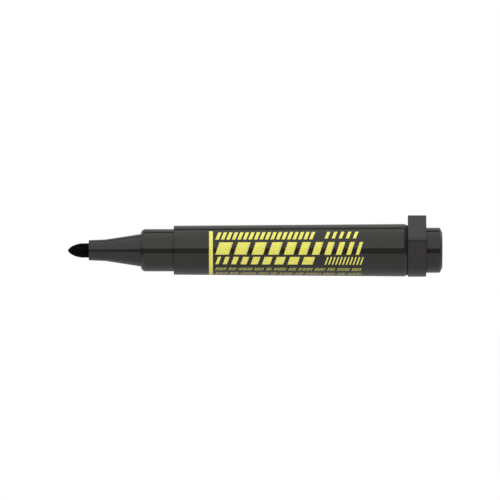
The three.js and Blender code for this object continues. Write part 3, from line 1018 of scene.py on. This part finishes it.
def print_ink():
    """Opaque yellow ink, a little thinner in places."""
    material, tree, shader = new_material("yellow_ink")
    vary(tree, shader, stretched_noise(tree, MOTTLE_SCALE, detail=2), INK_COLOURS, INK_ROUGHNESS)
    add_bump(tree, shader, stretched_noise(tree, INK_GRAIN_SCALE, detail=1), INK_GRAIN_HEIGHT)
    return material


give(print_ink(), *prints)
print("ink on", len(prints), "pieces")

# %% Film and nickel, inside
FILM_COLOURS = ((0.66, 0.66, 0.63), (0.76, 0.76, 0.73))
FILM_ROUGHNESS = (0.2, 0.35)
CREASE_SCALE = 700
CREASE_STRETCH = (0.1, 1, 1)
CREASE_HEIGHT = 0.03 * MM

NICKEL_COLOURS = ((0.52, 0.49, 0.45), (0.64, 0.61, 0.57))
NICKEL_ROUGHNESS = (0.18, 0.32)
PORE_SCALE = 2500
PORE_DEPTH = 0.01 * MM


def wrapping_film():
    """Milky film with fine creases along the pen."""
    material, tree, shader = new_material("wrapping_film")
    crease = stretched_noise(tree, CREASE_SCALE, stretch=CREASE_STRETCH, detail=2)
    vary(tree, shader, crease, FILM_COLOURS, FILM_ROUGHNESS)
    add_bump(tree, shader, crease, CREASE_HEIGHT)
    return material


def nickel_plate():
    """Nickel plating over a pressed block: metal with the block's fine pores."""
    material, tree, shader = new_material("nickel_plate")
    shader.inputs["Metallic"].default_value = 1.0
    pores = stretched_noise(tree, PORE_SCALE)
    vary(tree, shader, pores, NICKEL_COLOURS, NICKEL_ROUGHNESS)
    add_bump(tree, shader, pores, PORE_DEPTH)
    return material


give(wrapping_film(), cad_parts["reservoir_film"])
give(nickel_plate(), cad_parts["magnet"])
print("materials", sorted(m.name for m in bpy.data.materials))

# %% [markdown]
# ## Floor, studio and camera
#
# A dark, glossy pen is lit by what it reflects. In a studio it lies between a broad soft box above and a
# white table below, and the room behind the camera is dark, which draws the dark band along the middle of the
# barrel. A slit between two soft boxes overhead draws the thin dark line near its top edge.
#
# The floor is a white sheet on a light table. It looks plain white and keeps a share of the marker's soft
# shadow. To all rays but the camera's it glows less, so that it lights the marker from below only a little.

# %% Floor
FLOOR_SIZE = 12.0
FLOOR_DROP = 0.05 * MM
SHEET_WHITE = 0.9
FLOOR_GLOW = 1.12
GLOW_SEEN = 0.82
GLOW_GIVEN = 0.38


def mixed_shaders(tree, share, one, other):
    """A mix that is the first shader where the share is 0 and the second where it is 1."""
    mix = tree.nodes.new("ShaderNodeMixShader")
    tree.links.new(share, mix.inputs["Fac"])
    tree.links.new(one.outputs[0], mix.inputs[1])
    tree.links.new(other.outputs[0], mix.inputs[2])
    return mix


def white_sheet():
    """White paper mixed with glow: a large share of glow where the camera looks, a smaller one elsewhere."""
    material, tree, paper = new_material("white_sheet")
    paper.inputs["Base Color"].default_value = (SHEET_WHITE, SHEET_WHITE, SHEET_WHITE, 1)
    paper.inputs["Roughness"].default_value = 1
    paper.inputs["Specular IOR Level"].default_value = 0
    glow = tree.nodes.new("ShaderNodeEmission")
    glow.inputs["Strength"].default_value = FLOOR_GLOW
    seen = tree.nodes.new("ShaderNodeLightPath").outputs["Is Camera Ray"]
    more_seen = number_node(tree, "MULTIPLY", seen, GLOW_SEEN - GLOW_GIVEN)
    mix = mixed_shaders(tree, number_node(tree, "ADD", more_seen, GLOW_GIVEN), paper, glow)
    tree.links.new(mix.outputs[0], tree.nodes["Material Output"].inputs["Surface"])
    return material


half = FLOOR_SIZE / 2
level = cad_low.z - FLOOR_DROP
corners = [(-half, -half, level), (half, -half, level), (half, half, level), (-half, half, level)]
floor = mesh_object("floor", corners, [(0, 1, 2, 3)])
give(white_sheet(), floor)
floor.visible_glossy = False
floor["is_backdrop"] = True
print("floor at", round(level / MM, 2), "mm")

# %% [markdown]
# The world stands for the studio. What the camera sees of it is plain white. What glossy rays see is a
# pattern of the direction they leave in: bright below and above, dark at the horizon and in the slit. An
# image of a studio could do this too, but the few bands on this marker are easier to place with a formula.

# %% Studio seen in reflections
CEILING_FRONT = 0.94
CEILING_BACK = 0.53
ROOM = 0.04
TABLE = 0.57
REAR_WALL = 0.28
HORIZON_ABOVE = 0.148
HORIZON_BELOW = 0.25
SLIT_START = 0.295
SLIT_END = 0.53
SOFT_EDGE = 0.015
LEAST_UP = 0.01

# Where a gradual change starts and ends, and how large it gets
FRONT_BOX_GAIN = (0.0, 0.25, 0.12)
BACK_BOX_FADE = (SLIT_END, 4, 0.15)
TABLE_GAIN = (-0.1, 0.3, 0.12)
TABLE_FADE = (0.4, 1.0, 0.27)

# How far back a ray goes where the rear wall fades in, and how steeply where it fades out
WALL_START = (0.0, 0.4)
WALL_END = (0.35, 0.5)


def studio_pattern(tree):
    """Brightness of the studio by direction. Above the horizon it is the ceiling: its place there is how far
    back the direction leans for each unit up. The front box brightens towards the slit, and past the slit the
    back box is dimmer and fades. Below the horizon is the table, brightest just behind the marker. Between
    the two is the dark room, and behind the marker stands a grey wall."""
    times, plus, less = (partial(number_node, tree, step) for step in ("MULTIPLY", "ADD", "SUBTRACT"))

    def edge(value, start):
        """A soft edge from 0 to 1 at one place."""
        return smooth_step(tree, value, start, start + SOFT_EDGE)

    def change(value, start, end, amount):
        """A gradual change from nothing to an amount."""
        return times(smooth_step(tree, value, start, end), amount)

    coordinates = tree.nodes.new("ShaderNodeTexCoord")
    axes = tree.nodes.new("ShaderNodeSeparateXYZ")
    tree.links.new(coordinates.outputs["Generated"], axes.inputs[0])
    back, up = axes.outputs["Y"], axes.outputs["Z"]
    lean = number_node(tree, "DIVIDE", back, number_node(tree, "MAXIMUM", up, LEAST_UP))
    brighter = plus(1.0, change(lean, *FRONT_BOX_GAIN))
    front_box = times(less(1.0, edge(lean, SLIT_START)), times(brighter, CEILING_FRONT))
    fading = less(1.0, change(lean, *BACK_BOX_FADE))
    back_box = times(times(edge(lean, SLIT_END), fading), CEILING_BACK)
    ceiling = times(edge(up, HORIZON_ABOVE), plus(front_box, back_box))
    below = edge(times(up, -1.0), HORIZON_BELOW)
    near_and_far = less(change(back, *TABLE_GAIN), change(back, *TABLE_FADE))
    table = times(times(below, plus(1.0, near_and_far)), TABLE)
    steep = smooth_step(tree, number_node(tree, "ABSOLUTE", up), *WALL_END)
    wall = times(times(smooth_step(tree, back, *WALL_START), less(1.0, steep)), REAR_WALL)
    walls = number_node(tree, "MAXIMUM", ROOM, wall)
    return number_node(tree, "MAXIMUM", plus(ceiling, table), walls)


print("slit between the soft boxes from", SLIT_START, "to", SLIT_END)

# %% World
EVEN_GREY = 0.5


def background(tree, grey):
    """A plain world shader of one grey."""
    node = tree.nodes.new("ShaderNodeBackground")
    node.inputs["Color"].default_value = (grey, grey, grey, 1)
    return node


def make_world():
    """White for the camera, the studio for glossy and transmitted rays, and an even grey for the rest."""
    world = bpy.data.worlds.new("studio")
    world.use_nodes = True
    bpy.context.scene.world = world
    tree = world.node_tree
    tree.nodes.remove(tree.nodes["Background"])
    rays = tree.nodes.new("ShaderNodeLightPath").outputs
    studio = background(tree, 1)
    tree.links.new(studio_pattern(tree), studio.inputs["Color"])
    shiny = number_node(tree, "MAXIMUM", rays["Is Glossy Ray"], rays["Is Transmission Ray"])
    reflected = mixed_shaders(tree, shiny, background(tree, EVEN_GREY), studio)
    seen = mixed_shaders(tree, rays["Is Camera Ray"], reflected, background(tree, 1))
    tree.links.new(seen.outputs[0], tree.nodes["World Output"].inputs["Surface"])
    print("world", world.name, "with", len(tree.nodes), "nodes")


make_world()

# %% [markdown]
# Two soft lamps model the shapes, one high in front and one high behind. They give only diffuse light here,
# because the world already shows their soft boxes in the reflections.

# %% Lamps
middle = (cad_low + cad_high) / 2
middle_x = (x_nib_tip + x_plug_end) / 2


def soft_lamp(name, place, size, watts):
    """A square lamp turned to the middle of the marker."""
    lamp = bpy.data.lights.new(name, "AREA")
    lamp.shape = "SQUARE"
    lamp.size = size
    lamp.energy = watts
    holder = bpy.data.objects.new(name, lamp)
    holder.location = place
    holder.rotation_euler = (middle - Vector(place)).to_track_quat("-Z", "Y").to_euler()
    holder.visible_glossy = False
    bpy.context.scene.collection.objects.link(holder)
    print(name, watts, "W")


soft_lamp("lamp_front", (middle_x, -0.3, 1.1), size=0.9, watts=8.2)
soft_lamp("lamp_back", (middle_x, 0.6, 0.8), size=0.8, watts=3)

# %% [markdown]
# The photograph is taken level with the pen and from far off, with hardly any perspective: a very long lens,
# almost five metres away. The pen's tip lies 68 pixels from the left edge of the 500-pixel frame, and one
# pixel covers 0.34 mm, which gives the width of the frame and the place of its middle.

# %% Camera
FRAME_PIXELS = 500
PIXEL = 0.34 * MM
TIP_PIXEL = 67.95
AXIS_PIXEL = 250.25
LENS_MM = 1000
SENSOR_MM = 36
DISTANCE_PER_WIDTH = LENS_MM / SENSOR_MM
FARTHEST_SEEN = 20


def make_camera():
    """A level camera whose frame is 500 pixels of 0.34 mm wide where the pen is."""
    data = bpy.data.cameras.new("camera")
    data.lens = LENS_MM
    data.clip_end = FARTHEST_SEEN
    camera = bpy.data.objects.new("camera", data)
    width = FRAME_PIXELS * PIXEL
    x = x_nib_tip + (FRAME_PIXELS / 2 - TIP_PIXEL) * PIXEL
    z = (AXIS_PIXEL - FRAME_PIXELS / 2) * PIXEL
    camera.location = (x, -width * DISTANCE_PER_WIDTH, z)
    camera.rotation_euler = (math.pi / 2, 0, 0)
    bpy.context.scene.collection.objects.link(camera)
    bpy.context.scene.camera = camera
    print("camera", [round(c, 4) for c in camera.location])


make_camera()
bpy.context.scene.view_settings.view_transform = "Standard"

# %% Sizes of the frame and of the finished marker
low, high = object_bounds()
